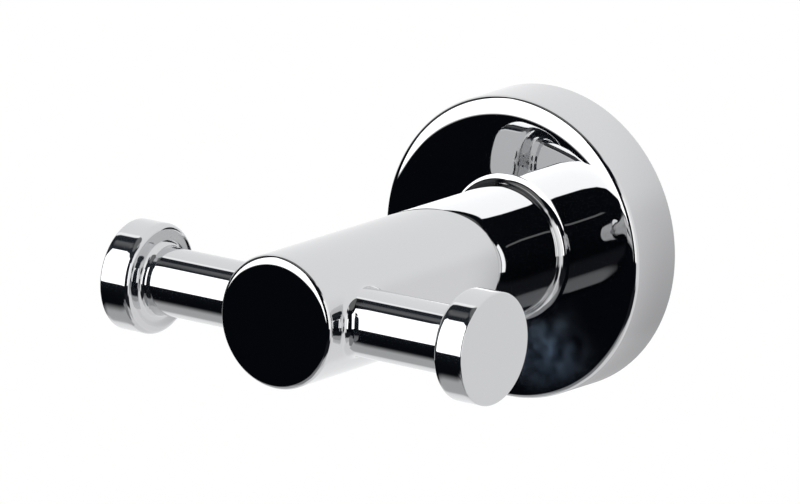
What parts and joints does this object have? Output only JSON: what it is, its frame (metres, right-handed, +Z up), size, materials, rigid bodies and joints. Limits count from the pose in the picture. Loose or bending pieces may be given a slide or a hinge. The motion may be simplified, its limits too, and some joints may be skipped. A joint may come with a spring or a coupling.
{
  "type": "double robe hook",
  "caption": "Chrome double robe hook: round wall flange, straight round arm and a short knobbed peg to each side near its end.",
  "frame": {"origin": "centre of the flange's back, on the arm's axis, in the plane of the wall", "axes": "+Y into the wall, so the arm runs out along -Y; +X along the pegs; +Z up"},
  "size_m": [0.0758, 0.0797, 0.054],
  "materials": {
    "chrome_plate": "bright mirror chrome over a polished zinc casting",
    "cast_zinc": "bare die-cast zinc, dull and faintly grained",
    "plated_steel": "bright zinc-plated steel with turned marks"
  },
  "bodies": {
    "root": {"hook_body": "chrome_plate", "wall_bracket": "cast_zinc", "grub_screw": "plated_steel"}
  },
  "joints": []
}
